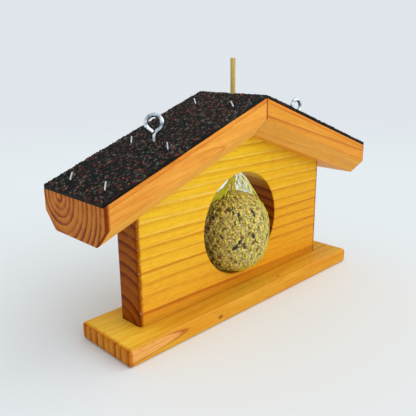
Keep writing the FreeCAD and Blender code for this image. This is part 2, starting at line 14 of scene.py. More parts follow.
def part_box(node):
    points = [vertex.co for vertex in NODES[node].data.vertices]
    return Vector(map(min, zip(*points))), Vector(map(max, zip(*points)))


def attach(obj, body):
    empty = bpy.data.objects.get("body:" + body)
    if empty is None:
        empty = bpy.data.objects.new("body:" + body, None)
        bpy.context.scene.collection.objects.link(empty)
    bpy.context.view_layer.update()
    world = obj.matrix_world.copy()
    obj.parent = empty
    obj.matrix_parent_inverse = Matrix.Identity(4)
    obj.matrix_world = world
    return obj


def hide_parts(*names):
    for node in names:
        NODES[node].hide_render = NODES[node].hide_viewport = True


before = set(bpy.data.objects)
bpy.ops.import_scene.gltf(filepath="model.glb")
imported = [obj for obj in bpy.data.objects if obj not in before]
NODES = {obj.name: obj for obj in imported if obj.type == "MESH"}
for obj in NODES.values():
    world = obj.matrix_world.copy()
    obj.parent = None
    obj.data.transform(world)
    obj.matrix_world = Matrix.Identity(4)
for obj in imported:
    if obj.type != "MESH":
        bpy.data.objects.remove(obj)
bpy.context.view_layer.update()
MM = 0.001
FULL_TURN = 2 * math.pi
UP = Vector((0, 0, 1))

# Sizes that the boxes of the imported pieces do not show
ROOF_PITCH = math.radians(20)
FELT_THICKNESS = 3 * MM
BORE_CLEARANCE = 0.35 * MM

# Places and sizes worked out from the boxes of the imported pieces
BASE_LOW, BASE_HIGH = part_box("base_board")
BLOCK_LOW, BLOCK_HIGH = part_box("house_block")
BOARD_LOW, BOARD_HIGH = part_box("roof_board_left")
FELT_LOW, FELT_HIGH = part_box("roof_felt")
STICK_LOW, STICK_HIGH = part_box("skewer_stick")
BALL_LOW, BALL_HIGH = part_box("fat_ball")
NET_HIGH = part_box("ball_net")[1]
BALL_MIDDLE = (BALL_LOW + BALL_HIGH) / 2
BALL_RADIUS = (BALL_HIGH.x - BALL_LOW.x) / 2
STICK_RADIUS = (STICK_HIGH.x - STICK_LOW.x) / 2
BORE_RADIUS = STICK_RADIUS + BORE_CLEARANCE
BORE_RISE = math.acos(BORE_RADIUS / BALL_RADIUS)
LOWER_MIDDLE = Vector((BALL_MIDDLE.x, BALL_MIDDLE.y, BALL_LOW.z + BALL_RADIUS * math.sin(BORE_RISE)))
UPPER_MIDDLE = Vector((BALL_MIDDLE.x, BALL_MIDDLE.y, BALL_HIGH.z - BALL_RADIUS * math.sin(BORE_RISE)))
BALL_STRETCH = UPPER_MIDDLE.z - LOWER_MIDDLE.z
WOOD_RIDGE = BOARD_HIGH.z


def mm(*lengths):
    """A vector from lengths in millimetres."""
    return Vector(lengths) * MM


def degrees(*angles):
    """A turn from angles in degrees."""
    return Euler([math.radians(angle) for angle in angles])


class Finish:
    """A material in the making: adds nodes to its tree and links them."""

    def __init__(self, name):
        self.material = bpy.data.materials.new(name)
        self.material.use_nodes = True
        self.tree = self.material.node_tree
        self.shader = self.tree.nodes["Principled BSDF"]
        coordinates = self.tree.nodes.new("ShaderNodeTexCoord")
        self.place = coordinates.outputs["Object"]
        self.facing = coordinates.outputs["Normal"]

    def node(self, kind, sockets, **settings):
        made = self.tree.nodes.new(kind)
        for name, setting in settings.items():
            setattr(made, name, setting)
        for name, value in sockets.items():
            self.feed(made.inputs[name], value)
        return made

    def feed(self, socket, value):
        if isinstance(value, bpy.types.NodeSocket):
            self.tree.links.new(value, socket)
        else:
            socket.default_value = value

    def set(self, **sockets):
        """Set the shader's sockets, with underscores for the spaces in their names."""
        for name, value in sockets.items():
            self.feed(self.shader.inputs[name.replace("_", " ")], value)

    def math(self, operation, *values):
        made = self.tree.nodes.new("ShaderNodeMath")
        made.operation = operation
        for socket, value in zip(made.inputs, values):
            self.feed(socket, value)
        return made.outputs[0]

    def mapped(self, vector, **sockets):
        """Coordinates moved, turned and stretched as a texture's own place, turn and size."""
        inputs = {name.title(): value for name, value in sockets.items()}
        return self.node("ShaderNodeMapping", {"Vector": vector, **inputs}, vector_type="TEXTURE").outputs[0]

    def axis(self, vector, name):
        return self.node("ShaderNodeSeparateXYZ", {"Vector": vector}).outputs[name]

    def length(self, vector):
        return self.node("ShaderNodeVectorMath", {0: vector}, operation="LENGTH").outputs["Value"]

    def noise(self, vector, grain, detail=2.0, roughness=0.5):
        """Smooth noise whose patches are about one grain, in metres, across."""
        sockets = {"Vector": vector, "Scale": 1 / grain, "Detail": detail, "Roughness": roughness}
        return self.node("ShaderNodeTexNoise", sockets).outputs[0]

    def spread(self, value, low, high, to_low, to_high):
        """Carry a range of values smoothly to another range."""
        sockets = {0: value, 1: low, 2: high, 3: to_low, 4: to_high}
        return self.node("ShaderNodeMapRange", sockets, interpolation_type="SMOOTHSTEP").outputs[0]

    def ramp(self, value, stops):
        """A ramp of greys or colours, each given with its place."""
        made = self.node("ShaderNodeValToRGB", {"Fac": value})
        elements = made.color_ramp.elements
        while len(elements) < len(stops):
            elements.new(1.0)
        for element, (position, tone) in zip(elements, stops):
            element.position = position
            element.color = (tone, tone, tone, 1) if isinstance(tone, (int, float)) else (*tone, 1)
        return made.outputs[0]

    def mix(self, share, first, second, blend="MIX"):
        made = self.tree.nodes.new("ShaderNodeMix")
        made.data_type = "RGBA"
        made.blend_type = blend
        for index, value in ((0, share), (6, first), (7, second)):
            colour = isinstance(value, tuple) and len(value) == 3
            self.feed(made.inputs[index], (*value, 1) if colour else value)
        return made.outputs[2]

    def attribute(self, name):
        return self.node("ShaderNodeAttribute", {}, attribute_name=name).outputs["Color"]

    def bump(self, height, depth):
        """Relief of a depth in metres."""
        sockets = {"Height": height, "Distance": depth, "Strength": 1.0}
        self.set(Normal=self.node("ShaderNodeBump", sockets).outputs["Normal"])


# Wood finishes

GRAIN_STRETCH = (14, 1, 1)
FIBRE_STRETCH = (45, 1, 1)
RING_WOBBLE = 0.9 * MM
RING_UNEVENNESS = 0.7
END_LATEWOOD = 0.42
KNOT_BROWN = (0.27, 0.08, 0.01)
# Places within one ring, each with a brightness: the pale spring wood with a painted sheen where the ring
# starts, and a painted glint on its latewood
PAINTED_SHEEN = ((0.0, 0.0), (0.05, 1.0), (0.14, 0.35), (0.3, 0.0))
PAINTED_GLINT = ((0.86, 0.0), (0.92, 1.0), (0.97, 1.0), (1.0, 0.0))


def latewood_tones(share):
    """Darkness over one ring: the latewood fills its last share, and the next spring starts sharply."""
    return (
        (0.0, 0.35), (0.04, 0.03), (1 - 1.8 * share, 0.0), (1 - share, 0.35), (1 - 0.55 * share, 0.95),
        (0.97, 1.0), (1.0, 0.35),
    )


class Softwood(Finish):
    """Oiled softwood with growth rings round a trunk that passes through heart and leans by lean.

    The trunk runs along its own X axis. Late is the share of a ring that is dark latewood, phase turns the
    count of rings, wander is how far they stray, and faint is how much they fade on the front face.
    """

    def __init__(
        self, name, heart, lean, ring_width, pale, dark, late, phase=0.0, wander=3 * MM, faint=0.0,
    ):
        super().__init__(name)
        self.pale = pale
        self.x, self.y, self.z = (self.axis(self.place, letter) for letter in "XYZ")
        self.upward = self.axis(self.facing, "Z")
        self.across = self.math("ABSOLUTE", self.axis(self.facing, "X"))
        self.front = self.spread(self.axis(self.facing, "Y"), -0.9, -0.6, 1.0, 0.0)
        trunk = self.mapped(self.place, location=heart, rotation=lean)
        self.with_grain = self.mapped(trunk, scale=GRAIN_STRETCH)
        fibres = self.mapped(trunk, scale=FIBRE_STRETCH)
        section = self.node("ShaderNodeVectorMath", {0: trunk, 1: (0, 1, 1)}, operation="MULTIPLY").outputs[0]
        stray = self.math("SUBTRACT", self.noise(self.with_grain, 40 * MM, detail=3), 0.5)
        radius = self.math("MULTIPLY_ADD", stray, wander, self.length(section))
        wobble = self.math("SUBTRACT", self.noise(self.mapped(trunk, scale=(5, 1, 1)), 5 * MM), 0.5)
        radius = self.math("MULTIPLY_ADD", wobble, RING_WOBBLE, radius)
        ring = self.math("MULTIPLY_ADD", radius, 1 / ring_width, phase)
        sockets = {"W": ring, "Scale": 0.45, "Detail": 1.0}
        uneven = self.node("ShaderNodeTexNoise", sockets, noise_dimensions="1D").outputs[0]
        ring = self.math("MULTIPLY_ADD", self.math("SUBTRACT", uneven, 0.5), RING_UNEVENNESS, ring)
        self.season = self.math("FRACT", ring)
        count = self.math("FLOOR", ring)
        year = self.node("ShaderNodeTexWhiteNoise", {"W": count}, noise_dimensions="1D").outputs[0]
        self.strength = self.math(
            "MULTIPLY", self.spread(year, 0, 1, 0.3, 1.0),
            self.spread(self.noise(self.with_grain, 16 * MM), 0.35, 0.65, 0.4, 1.0),
        )
        shown = self.math("MULTIPLY", self.strength, self.math("MULTIPLY_ADD", self.front, -faint, 1.0))
        self.latewood = self.math("MULTIPLY", self.ramp(self.season, latewood_tones(late)), shown)
        self.thread = self.noise(fibres, 1.1 * MM, detail=3, roughness=0.6)

        bright = tuple(min(1.0, 1.1 * part + 0.02) for part in pale)
        self.colour = self.mix(self.latewood, pale, dark)
        # Painted sheen: a brighter line where each ring starts, just after the latewood
        self.colour = self.mix(self.math("MULTIPLY", self.ramp(self.season, PAINTED_SHEEN), 0.3), self.colour, bright)
        cloud = self.noise(self.with_grain, 22 * MM, detail=3)
        self.tint(self.spread(cloud, 0.35, 0.7, 0.0, 0.4), (0.93, 0.76, 0.66))
        self.pores = self.noise(self.mapped(trunk, scale=(9, 1, 1)), 0.7 * MM, detail=1)
        self.mottle = self.noise(self.mapped(trunk, scale=(3, 1, 1)), 3 * MM, detail=3, roughness=0.6)

    def tint(self, share, tone):
        """Darken towards a tone by a share."""
        self.colour = self.mix(share, self.colour, tone, "MULTIPLY")

    def sink(self, low, high, tone):
        """Another tone towards the bottom, between two heights."""
        self.tint(self.spread(self.z, low, high, 1.0, 0.0), tone)

    def drift(self, start, end, tone):
        """Another tone along the board, from none at one place to all of it at another."""
        self.tint(self.spread(self.x, start, end, 0.0, 1.0), tone)

    def streaks(self, share, tone):
        """Soft long streaks that follow the grain."""
        self.tint(self.spread(self.noise(self.with_grain, 6 * MM, detail=2), 0.4, 0.65, 0.0, share), tone)

    def painted_bounce_under(self, share, tone):
        """Painted light from below: a brighter tone on the faces that look down."""
        under = self.spread(self.upward, -0.75, -0.3, share, 0.0)
        self.colour = self.mix(under, self.colour, tone)

    def painted_light_on_top(self, share, tone):
        """Painted light from above: a brighter tone on the faces that look up."""
        up = self.spread(self.upward, 0.6, 0.9, 0.0, share)
        self.colour = self.mix(up, self.colour, tone)

    def painted_shade_on_top(self, left, right, front, tone):
        """Painted shade on the faces that look up, growing to the right and away from the front edge."""
        up = self.spread(self.upward, 0.3, 0.9, 0.0, 1.0)
        along = self.spread(self.x, left, right, 0.0, 1.0)
        inward = self.spread(self.math("SUBTRACT", self.y, front), 1 * MM, 8 * MM, 0.0, 1.0)
        self.tint(self.math("MULTIPLY", self.math("MULTIPLY", up, along), inward), tone)

    def painted_contact_shadow(self, left, front, width, tone):
        """A painted contact shadow beside the foot of an upright board, from its left end on."""
        apart = self.math("ABSOLUTE", self.math("SUBTRACT", self.y, front))
        near = self.spread(apart, 0.3 * width, width, 1.0, 0.0)
        along = self.spread(self.x, left - width, left, 0.0, 1.0)
        self.tint(self.math("MULTIPLY", near, along), tone)

    def front_edge(self, front, width, tone):
        """A line along the upper front edge, where the oil has gathered."""
        near = self.spread(self.math("SUBTRACT", self.y, front), 0.5 * width, width, 1.0, 0.0)
        up = self.spread(self.upward, 0.3, 0.8, 0.0, 1.0)
        self.tint(self.math("MULTIPLY", near, up), tone)

    def painted_edge_light(self, width, tone, shade_line_tone):
        """Painted light and shade on a roof board's rounded upper front edge: a toned strip for its highlight
        and a painted shade line under it.
        """
        run = self.math("ABSOLUTE", self.x)
        top = self.math("MULTIPLY_ADD", run, -math.tan(ROOF_PITCH), WOOD_RIDGE)
        below = self.math("SUBTRACT", top, self.z)
        strip = self.spread(below, 0.8 * width, width, 1.0, 0.0)
        self.tint(self.math("MULTIPLY", strip, self.front), tone)
        apart = self.math("ABSOLUTE", self.math("SUBTRACT", below, width))
        line = self.spread(apart, 0.0, 0.3 * width, 1.0, 0.0)
        self.tint(self.math("MULTIPLY", line, self.front), shade_line_tone)

    def seam(self, half_width, tone):
        """A dark line where a board meets its neighbour under the ridge."""
        apart = self.math("ABSOLUTE", self.x)
        self.tint(self.spread(apart, 0.4 * half_width, half_width, 1.0, 0.0), tone)

    def bright_lines(self, low, high, tone):
        """Lines that turn from dark to bright between two heights, where they catch the light."""
        up = self.spread(self.z, low, high, 0.0, 1.0)
        faded = self.math("MULTIPLY", self.math("MULTIPLY", self.latewood, up), 0.6)
        self.colour = self.mix(faded, self.colour, self.pale)
        lit = self.math("MULTIPLY", self.math("MULTIPLY", self.ramp(self.season, PAINTED_SHEEN), up), 0.75)
        self.colour = self.mix(lit, self.colour, tone)

    def knot(self, place, radius):
        """A small dark knot, longer along the grain."""
        spot = self.mapped(self.place, location=place, scale=(1.7, 1, 1))
        core = self.spread(self.length(spot), 0.4 * radius, radius, 0.8, 0.0)
        self.colour = self.mix(core, self.colour, KNOT_BROWN)

    def tongue(self, tip, turn, length, half_width, inside, line):
        """A flame of the grain on the front face, with its tip to the right, and the dark line round it."""
        spot = self.mapped(self.place, location=tip, rotation=turn)
        shape = self.math("POWER", self.math("DIVIDE", self.axis(spot, "Z"), half_width), 2.0)
        shape = self.math("ADD", shape, self.math("DIVIDE", self.axis(spot, "X"), length))
        ragged = self.noise(self.mapped(self.place, scale=(20, 1, 1)), 2 * MM, detail=2)
        shape = self.math("MULTIPLY_ADD", self.math("SUBTRACT", ragged, 0.5), 0.25, shape)
        inner = self.math("MULTIPLY", self.spread(shape, -0.06, 0.03, 1.0, 0.0), self.front)
        self.colour = self.mix(self.math("MULTIPLY", inner, 0.75), self.colour, inside)
        edge = self.spread(self.math("ABSOLUTE", shape), 0.0, 0.16, 0.75, 0.0)
        self.colour = self.mix(self.math("MULTIPLY", edge, self.front), self.colour, line)

    def ends(self, half_length, end_oil_and_shade, reach, soak_oil_and_shade, ragged=0.4, ring_tone=(0.56, 0.36, 0.46)):
        """The cut ends, where the oil darkens the wood, and the strip beside them where it has soaked in;
        both tones can also carry painted shade.
        """
        cut = self.spread(self.across, 0.45, 0.9, 0.0, 1.0)
        self.tint(cut, end_oil_and_shade)
        clear = self.spread(self.strength, 0.1, 0.6, 0.4, 1.0)
        rings = self.math("MULTIPLY", self.ramp(self.season, latewood_tones(END_LATEWOOD)), clear)
        self.tint(self.math("MULTIPLY", rings, cut), ring_tone)
        blot = self.math("SUBTRACT", self.noise(self.place, 5 * MM, detail=2), 0.5)
        self.away = self.math("SUBTRACT", half_length, self.math("ABSOLUTE", self.x))
        away = self.math("MULTIPLY_ADD", blot, ragged * reach, self.away)
        soaked = self.spread(away, 0.4 * reach, reach, 1.0, 0.0)
        beside = self.spread(self.across, 0.7, 0.98, 1.0, 0.0)
        self.tint(self.math("MULTIPLY", soaked, beside), soak_oil_and_shade)

    def painted_glint_lines(self, reach, tone):
        """Painted glint: thin bright ends of the latewood lines where they turn round the corners beside the
        cut ends.
        """
        near = self.math("MULTIPLY", self.spread(self.away, 0.5 * reach, reach, 0.5, 0.0), self.strength)
        corner = self.ramp(self.across, [(0.05, 0.0), (0.3, 1.0), (0.6, 1.0), (0.9, 0.0)])
        line = self.math("MULTIPLY", self.ramp(self.season, PAINTED_GLINT), self.math("MULTIPLY", corner, near))
        self.colour = self.mix(line, self.colour, tone)

    def oiled(self):
        """Finish the wood: mottling, fibres and pores over all else, an oiled shine and a fine relief."""
        self.tint(self.spread(self.mottle, 0.4, 0.7, 0.0, 0.35), (0.88, 0.74, 0.62))
        self.tint(self.spread(self.thread, 0.35, 0.7, 0.0, 0.55), (0.82, 0.66, 0.55))
        self.tint(self.spread(self.pores, 0.58, 0.75, 0.0, 0.5), (0.78, 0.60, 0.5))
        shine = self.math("MULTIPLY_ADD", self.latewood, -0.1, self.spread(self.thread, 0.2, 0.8, 0.46, 0.6))
        self.set(Base_Color=self.colour, Roughness=shine, Specular_IOR_Level=0.08)
        self.bump(self.math("MULTIPLY_ADD", self.thread, -0.45, self.latewood), 0.1 * MM)
        return self.material


def base_wood():
    heart = Vector((BASE_LOW.x, 90 * MM, 8 * MM))
    wood = Softwood(
        "base_softwood", heart, degrees(0, 0, 0.14), 7.5 * MM, late=0.3, wander=1.5 * MM, phase=-0.15,
        pale=(0.93, 0.53, 0.036), dark=(0.55, 0.21, 0.02),
    )
    # Painted light from above on the base's top
    wood.painted_light_on_top(0.85, (1.0, 0.69, 0.065))
    # Painted shade on the base's top from the block's left end on, where the block and the roof overhang it
    wood.painted_shade_on_top(-126 * MM, -92 * MM, BASE_LOW.y, (0.74, 0.71, 0.6))
    # Painted contact shadow along the foot of the block
    wood.painted_contact_shadow(BLOCK_LOW.x, BLOCK_LOW.y, 2 * MM, (0.80, 0.68, 0.45))
    wood.streaks(0.8, (0.97, 0.80, 0.55))
    wood.front_edge(BASE_LOW.y, 6 * MM, (0.84, 0.76, 0.9))
    wood.drift(-112 * MM, -70 * MM, (0.96, 0.86, 0.82))
    wood.tint(wood.front, (0.86, 0.87, 1.0))
    tip = Vector((-86 * MM, BASE_LOW.y, 9.2 * MM))
    wood.tongue(tip, degrees(0, 0, 0), 50 * MM, 6.2 * MM, (0.86, 0.42, 0.125), (0.40, 0.10, 0.012))
    wood.knot(Vector((-47.7 * MM, BASE_LOW.y, 6.2 * MM)), 2.2 * MM)
    wood.knot(Vector((33.6 * MM, -26.2 * MM, BASE_HIGH.z)), 1.5 * MM)
    wood.ends(
        BASE_HIGH.x, (0.80, 0.59, 0.39), 3.5 * MM, (0.80, 0.58, 0.4), ragged=0.9, ring_tone=(0.68, 0.53, 0.6),
    )
    return wood.oiled()


def block_wood():
    heart = Vector((BLOCK_LOW.x, 12 * MM, 0))
    wood = Softwood(
        "block_softwood", heart, degrees(0, 1.0, 0), 8.67 * MM, late=0.22,
        pale=(1.0, 0.72, 0.028), dark=(0.64, 0.26, 0.012),
    )
    wood.bright_lines(55 * MM, 110 * MM, (1.0, 0.80, 0.20))
    # Darker and more orange towards the bottom, in part painted shade
    wood.sink(BLOCK_LOW.z, BLOCK_HIGH.z, (0.87, 0.62, 0.95))
    # Painted shade in the corner where the block stands on the base
    wood.sink(BLOCK_LOW.z, BLOCK_LOW.z + 9 * MM, (0.78, 0.76, 0.75))
    wood.drift(-80 * MM, 40 * MM, (0.95, 0.85, 0.5))
    # Oil-soaked end grain together with painted shade: the block's dark tones also darken its ends under the
    # roof, the rounded corners beside them and the hole's side walls
    wood.ends(BLOCK_HIGH.x, (0.41, 0.20, 0.03), 4.6 * MM, (0.42, 0.20, 0.06), ragged=0.7)
    wood.painted_glint_lines(5 * MM, (0.86, 0.50, 0.20))
    return wood.oiled()


# Half width and tone of the seam at the ridge, then width and tones of the painted light and shade on the
# roof boards' rounded upper edge
ROOF_SEAM = (1.0 * MM, (0.42, 0.16, 0.1))
ROOF_EDGE_LIGHT = (2.8 * MM, (1.0, 0.84, 0.74), (0.80, 0.62, 0.5))


def roof_wood_left():
    heart = Vector((BOARD_LOW.x, 16 * MM, WOOD_RIDGE + BOARD_LOW.x * math.tan(ROOF_PITCH) - 2 * MM))
    wood = Softwood(
        "roof_softwood_left", heart, degrees(0, -13.5, 1.2), 5.0 * MM, late=0.38, wander=2 * MM,
        pale=(0.96, 0.475, 0.070), dark=(0.52, 0.16, 0.028), faint=0.6,
    )
    tip = Vector((-48 * MM, BOARD_LOW.y, WOOD_RIDGE - 32 * MM))
    wood.tongue(tip, degrees(0, -14, 0), 30 * MM, 6 * MM, (0.92, 0.41, 0.06), (0.74, 0.29, 0.03))
    wood.seam(*ROOF_SEAM)
    wood.drift(-80 * MM, BOARD_LOW.x, (0.93, 0.91, 0.88))
    wood.streaks(0.8, (0.88, 0.76, 0.68))
    # Painted bounce light on the faces that look down
    wood.painted_bounce_under(0.75, (1.0, 0.53, 0.09))
    wood.painted_edge_light(*ROOF_EDGE_LIGHT)
    wood.ends(-BOARD_LOW.x, (0.76, 0.58, 0.52), 4.5 * MM, (0.26, 0.09, 0.04), ragged=0.2)
    return wood.oiled()


def roof_wood_right():
    heart = Vector((BOARD_HIGH.x, 24 * MM, BOARD_LOW.z - 75 * MM))
    wood = Softwood(
        "roof_softwood_right", heart, degrees(0, 17.5, -0.6), 7.6 * MM, late=0.25, wander=2 * MM,
        pale=(0.86, 0.38, 0.040), dark=(0.60, 0.20, 0.024),
    )
    wood.seam(*ROOF_SEAM)
    wood.streaks(0.6, (0.9, 0.8, 0.72))
    # Painted bounce light on the faces that look down
    wood.painted_bounce_under(0.6, (1.0, 0.55, 0.09))
    wood.painted_edge_light(*ROOF_EDGE_LIGHT)
    wood.ends(-BOARD_LOW.x, (0.74, 0.58, 0.54), 2 * MM, (0.55, 0.3, 0.2))
    return wood.oiled()


# Other finishes

def bamboo():
    cane = Finish("split_bamboo")
    fibres = cane.mapped(cane.place, scale=(1, 1, 40))
    strand = cane.noise(fibres, 0.7 * MM, detail=3, roughness=0.65)
    tones = ((0.25, (0.40, 0.24, 0.05)), (0.5, (0.68, 0.45, 0.10)), (0.8, (0.80, 0.58, 0.16)))
    colour = cane.ramp(strand, tones)
    cane.set(Base_Color=colour, Roughness=0.5)
    cane.bump(strand, 0.15 * MM)
    return cane.material


def plated_metal(name, colour, shadow, roughness, patch):
    """A plated or bare metal, whose gloss and tone change from patch to patch; its darker tone is partly
    painted reflection.
    """
    metal = Finish(name)
    cloud = metal.noise(metal.place, patch, detail=4, roughness=0.6)
    metal.set(Base_Color=metal.mix(metal.spread(cloud, 0.3, 0.7, 0.0, 1.0), shadow, colour))
    metal.set(Metallic=1.0, Roughness=metal.spread(cloud, 0.2, 0.8, roughness + 0.1, roughness))
    metal.bump(cloud, 0.04 * MM)
    return metal.material


def felt_finish():
    felt = Finish("granule_felt")
    speck = felt.noise(felt.place, 0.5 * MM, detail=2)
    grit = felt.attribute("granules")
    colour = felt.mix(felt.spread(speck, 0.35, 0.7, 0.0, 0.6), grit, (0.35, 0.35, 0.35), "MULTIPLY")
    felt.set(Base_Color=colour, Roughness=felt.spread(speck, 0.2, 0.8, 0.5, 0.8), Specular_IOR_Level=0.12)
    felt.bump(speck, 0.25 * MM)
    return felt.material


def crumb_finish():
    crumb = Finish("pressed_fat_crumb")
    speck = crumb.noise(crumb.place, 0.9 * MM, detail=3, roughness=0.7)
    dust = crumb.spread(speck, 0.45, 0.75, 0.0, 0.6)
    colour = crumb.mix(dust, crumb.attribute("crumbs"), (0.45, 0.33, 0.2), "MULTIPLY")
    crumb.set(Base_Color=colour, Roughness=crumb.spread(speck, 0.2, 0.8, 0.45, 0.7))
    crumb.bump(speck, 0.35 * MM)
    return crumb.material


def seed_finish(name, dark, pale, share):
    """A seed's husk with fine blotches."""
    husk = Finish(name)
    blotch = husk.noise(husk.place, 0.8 * MM, detail=3)
    husk.set(Base_Color=husk.mix(husk.spread(blotch, 0.5, 0.75, 0.0, share), dark, pale))
    husk.set(Roughness=husk.spread(blotch, 0.2, 0.8, 0.35, 0.55))
    husk.bump(blotch, 0.15 * MM)
    return husk.material


def net_finish(name, dark, pale):
    yarn = Finish(name)
    twist = yarn.noise(yarn.place, 1.5 * MM, detail=2)
    yarn.set(Base_Color=yarn.mix(yarn.spread(twist, 0.3, 0.7, 0.0, 1.0), dark, pale))
    yarn.set(Roughness=yarn.spread(twist, 0.2, 0.8, 0.35, 0.5))
    return yarn.material


# Pieces

def new_piece(name, mesh, finish, body, slot, *stands_for):
    """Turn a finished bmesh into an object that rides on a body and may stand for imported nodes."""
    data = bpy.data.meshes.new(name)
    mesh.to_mesh(data)
    mesh.free()
    data.materials.append(finish)
    data.shade_smooth()
    piece = bpy.data.objects.new(name, data)
    bpy.context.scene.collection.objects.link(piece)
    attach(piece, body)
    if stands_for:
        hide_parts(*stands_for)
    return piece


GRANULE_SPACING = 1.5 * MM
GRANULE_HEIGHT = 0.95 * MM
GRANULE_SLOPE = 0.55 * GRANULE_SPACING
GRANULE_SUNK = 0.8
BITUMEN = (0.006, 0.006, 0.005, 1)
# Colours of the granules, each with the share of all granules up to it
GRANULE_TONES = (
    (0.57, (0.005, 0.005, 0.004)),
    (0.78, (0.028, 0.032, 0.025)),
    (0.865, (0.190, 0.041, 0.026)),
    (0.89, (0.410, 0.105, 0.066)),
    (0.95, (0.130, 0.095, 0.055)),
    (1.00, (0.200, 0.205, 0.175)),
)


def granule_layout(draw, half_span, depth_low, depth_high):
    """Jittered places for the felt's granules, each with a height and a colour."""
    places = []
    across = int(2 * half_span / GRANULE_SPACING) + 3
    deep = int((depth_high - depth_low) / GRANULE_SPACING) + 3
    tree = kdtree.KDTree(across * deep)
    for i in range(across):
        for j in range(deep):
            x = -half_span + (i - 1 + draw.uniform(0.0, 1.0)) * GRANULE_SPACING
            y = depth_low + (j - 1 + draw.uniform(0.0, 1.0)) * GRANULE_SPACING
            pick = draw.random()
            tone = next(colour for share, colour in GRANULE_TONES if pick <= share)
            tree.insert((x, y, 0), len(places))
            places.append((draw.uniform(0.35, 1.0), tone))
    tree.balance()
    return tree, places


def roofing_felt(finish):
    """One sheet over the ridge, plain below and finely divided on top, where the granules stand out."""
    cells_long, cells_deep, cuts = 18, 4, 31
    ridge_bend = 2.2 * MM
    edge_wander, edge_wave = 0.5 * MM, 9 * MM
    half_span = FELT_HIGH.x
    depth = FELT_HIGH.y - FELT_LOW.y
    edge_start = 0.499 * depth
    draw = random.Random(11)
    mesh = bmesh.new()
    colour_layer = mesh.verts.layers.float_color.new("granules")
    bmesh.ops.create_grid(mesh, x_segments=cells_long, y_segments=cells_deep, size=0.5)
    bmesh.ops.scale(mesh, vec=(2 * half_span, depth, 1), verts=mesh.verts)
    raised = bmesh.ops.extrude_face_region(mesh, geom=mesh.faces[:])["geom"]
    top_faces = [part for part in raised if isinstance(part, bmesh.types.BMFace)]
    top_verts = {vert for face in top_faces for vert in face.verts}
    bmesh.ops.translate(mesh, vec=UP * FELT_THICKNESS, verts=list(top_verts))
    top_edges = list({edge for face in top_faces for edge in face.edges})
    bmesh.ops.subdivide_edges(mesh, edges=top_edges, cuts=cuts, use_grid_fill=True)
    bmesh.ops.recalc_face_normals(mesh, faces=mesh.faces)

    slope = 1 / math.cos(ROOF_PITCH)
    tree, granules = granule_layout(draw, half_span * slope, -depth / 2, depth / 2)
    middle = (FELT_LOW.y + FELT_HIGH.y) / 2
    for vert in mesh.verts:
        x, y, lift = vert.co
        bend = 0.0
        vert[colour_layer] = BITUMEN
        if lift > FELT_THICKNESS / 2:
            bend = ridge_bend
            (_, nearest, first), (_, _, second) = tree.find_n((x * slope, y, 0), 2)
            height, tone = granules[nearest]
            dome = min(1.0, (second - first) / GRANULE_SLOPE)
            lift += GRANULE_HEIGHT * (height * dome * (2 - dome) - GRANULE_SUNK)
            # Painted shade: each granule darkens towards the crevices round it
            shade = 0.35 + 0.65 * dome
            vert[colour_layer] = (*(part * shade for part in tone), 1)
        if abs(y) > edge_start:
            y += edge_wander * (noise.noise(Vector((x / edge_wave, 3.0 * y / depth, 0))) - 0.5)
        drop = math.sqrt(x * x + bend * bend) * math.tan(ROOF_PITCH)
        vert.co = (x, y + middle, WOOD_RIDGE - drop + lift * slope)
    felt = new_piece("felt_sheet", mesh, finish, "house", "roofing_felt", "roof_felt")
    cut_stick_hole(felt)
    return felt


def cut_stick_hole(felt):
    """Punch the stick's hole through the felt at the ridge."""
    clearance = 0.25 * MM
    cutter_mesh = bmesh.new()
    bmesh.ops.create_cone(
        cutter_mesh, cap_ends=True, segments=24, radius1=STICK_RADIUS + clearance,
        radius2=STICK_RADIUS + clearance, depth=30 * MM,
        matrix=Matrix.Translation((0, BALL_MIDDLE.y, WOOD_RIDGE)),
    )
    data = bpy.data.meshes.new("stick_hole")
    cutter_mesh.to_mesh(data)
    cutter_mesh.free()
    cutter = bpy.data.objects.new("stick_hole", data)
    bpy.context.scene.collection.objects.link(cutter)
    punch = felt.modifiers.new("stick_hole", "BOOLEAN")
    punch.operation = "DIFFERENCE"
    punch.solver = "MANIFOLD"
    punch.object = cutter
    ready = felt.evaluated_get(bpy.context.evaluated_depsgraph_get())
    whole = felt.data
    felt.data = bpy.data.meshes.new_from_object(ready)
    felt.modifiers.clear()
    bpy.data.objects.remove(cutter)
    bpy.data.meshes.remove(whole)


CRUMB_SIZE = 2.4 * MM
CRUMB_HEIGHT = 0.8 * MM
CRUMB_SLOPE, CRUMB_SUNK = 0.4, 0.6
PALE_CRUMB = Vector((1.0, 0.86, 0.36))
MIDDLE_CRUMB = Vector((0.92, 0.73, 0.18))
DARK_CRUMB = Vector((0.30, 0.145, 0.02))
# Painted shade in the bore round the stick
BORE_SHADE = (0.20, 0.13, 0.045, 1)
LUMP_SIZE = 9 * MM
LUMP_HEIGHT = 0.4 * MM
SKIN_DEPTH = 0.4 * MM
# The dent round the stick in the top
DENT_REACH = 8 * MM
DENT_DEPTH = 2.0 * MM
# The swollen lower shoulder, between two rises in degrees
SWELL_HEIGHT = 1.8 * MM
SWELL_LOW, SWELL_HIGH = -78, -12
# The side in painted shade, and how much of red, green and blue it loses there
SHADED_SIDE_HEADING = math.radians(155)
SHADED_SIDE_LOSS = (0.28, 0.42, 0.72)


